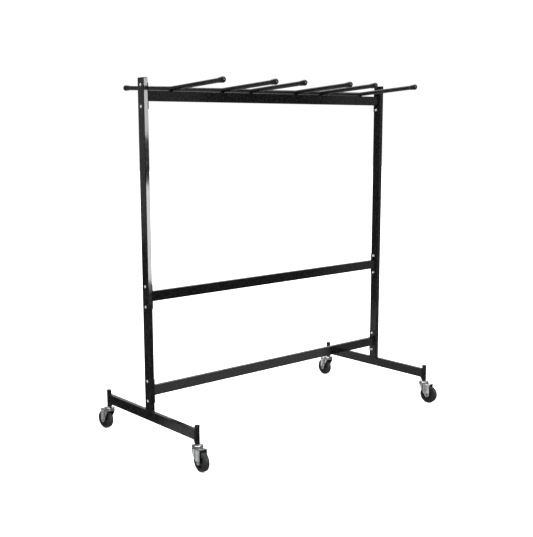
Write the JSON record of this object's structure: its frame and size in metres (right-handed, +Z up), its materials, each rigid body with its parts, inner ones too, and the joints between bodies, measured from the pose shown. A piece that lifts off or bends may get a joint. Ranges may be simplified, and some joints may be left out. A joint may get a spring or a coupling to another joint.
{
  "type": "rolling clothes rack",
  "caption": "Rolling clothes rack: black steel end frames on swivel casters, three rails and upswept hanging arms.",
  "frame": {"origin": "on the floor, under the middle of the rack", "axes": "+X along the rails to the right, -Y the front, +Z up"},
  "size_m": [1.7168, 0.9286, 1.802],
  "materials": {
    "black_steel": "gloss powder coat",
    "black_plastic": "moulded, satin",
    "nickel_fasteners": "bright nickel plate",
    "zinc_steel": "bright zinc plate",
    "bearing_steel": "polished",
    "wheel_plastic": "moulded, matte",
    "tyre_rubber": "matte"
  },
  "bodies": {
    "rack": {"left_upright": "black_steel", "right_upright": "black_steel", "upright_plugs": "black_plastic", "left_foot_beam": "black_steel", "right_foot_beam": "black_steel", "caster_sockets": "black_steel", "socket_caps": "black_plastic", "socket_inserts": "black_plastic", "socket_gussets": "black_steel", "foot_welds": "black_steel", "top_rail": "black_steel", "middle_rail": "black_steel", "bottom_rail": "black_steel", "top_rail_flanges": "black_steel", "middle_rail_flanges": "black_steel", "bottom_rail_flanges": "black_steel", "rail_welds": "black_steel", "frame_bolts": "nickel_fasteners", "frame_nuts": "nickel_fasteners", "arm_end_caps": "black_plastic", "arm_welds": "black_steel", "caster_stems": "zinc_steel", "grip_rings": "zinc_steel", "caster_race_cups": "zinc_steel", "hanging_arm_1": "black_steel", "hanging_arm_2": "black_steel", "hanging_arm_3": "black_steel", "hanging_arm_4": "black_steel", "hanging_arm_5": "black_steel", "hanging_arm_6": "black_steel"},
    "front_left_swivel": {"front_left_bearing_balls": "bearing_steel", "front_left_fork": "zinc_steel", "front_left_axle_bolt": "zinc_steel", "front_left_axle_nut": "zinc_steel", "front_left_axle_sleeve": "zinc_steel"},
    "front_left_wheel": {"front_left_wheel_core": "wheel_plastic", "front_left_tyre": "tyre_rubber"},
    "back_left_swivel": {"back_left_bearing_balls": "bearing_steel", "back_left_fork": "zinc_steel", "back_left_axle_bolt": "zinc_steel", "back_left_axle_nut": "zinc_steel", "back_left_axle_sleeve": "zinc_steel"},
    "back_left_wheel": {"back_left_wheel_core": "wheel_plastic", "back_left_tyre": "tyre_rubber"},
    "front_right_swivel": {"front_right_bearing_balls": "bearing_steel", "front_right_fork": "zinc_steel", "front_right_axle_bolt": "zinc_steel", "front_right_axle_nut": "zinc_steel", "front_right_axle_sleeve": "zinc_steel"},
    "front_right_wheel": {"front_right_wheel_core": "wheel_plastic", "front_right_tyre": "tyre_rubber"},
    "back_right_swivel": {"back_right_bearing_balls": "bearing_steel", "back_right_fork": "zinc_steel", "back_right_axle_bolt": "zinc_steel", "back_right_axle_nut": "zinc_steel", "back_right_axle_sleeve": "zinc_steel"},
    "back_right_wheel": {"back_right_wheel_core": "wheel_plastic", "back_right_tyre": "tyre_rubber"}
  },
  "joints": [
    {"name": "front_left_swivel", "type": "hinge", "parent": "rack", "child": "front_left_swivel", "pos_m": [-0.824, -0.382, 0.115], "axis": [0, 0, 1], "continuous": true},
    {"name": "front_left_roll", "type": "hinge", "parent": "front_left_swivel", "child": "front_left_wheel", "pos_m": [-0.82601, -0.41494, 0.049], "axis": [0.9981, -0.061, 0], "continuous": true},
    {"name": "back_left_swivel", "type": "hinge", "parent": "rack", "child": "back_left_swivel", "pos_m": [-0.824, 0.382, 0.115], "axis": [0, 0, 1], "continuous": true},
    {"name": "back_left_roll", "type": "hinge", "parent": "back_left_swivel", "child": "back_left_wheel", "pos_m": [-0.82859, 0.41468, 0.049], "axis": [-0.9903, -0.1392, 0], "continuous": true},
    {"name": "front_right_swivel", "type": "hinge", "parent": "rack", "child": "front_right_swivel", "pos_m": [0.824, -0.382, 0.115], "axis": [0, 0, 1], "continuous": true},
    {"name": "front_right_roll", "type": "hinge", "parent": "front_right_swivel", "child": "front_right_wheel", "pos_m": [0.82859, -0.41468, 0.049], "axis": [0.9903, 0.1392, 0], "continuous": true},
    {"name": "back_right_swivel", "type": "hinge", "parent": "rack", "child": "back_right_swivel", "pos_m": [0.824, 0.382, 0.115], "axis": [0, 0, 1], "continuous": true},
    {"name": "back_right_roll", "type": "hinge", "parent": "back_right_swivel", "child": "back_right_wheel", "pos_m": [0.82601, 0.41494, 0.049], "axis": [-0.9981, 0.061, 0], "continuous": true}
  ]
}
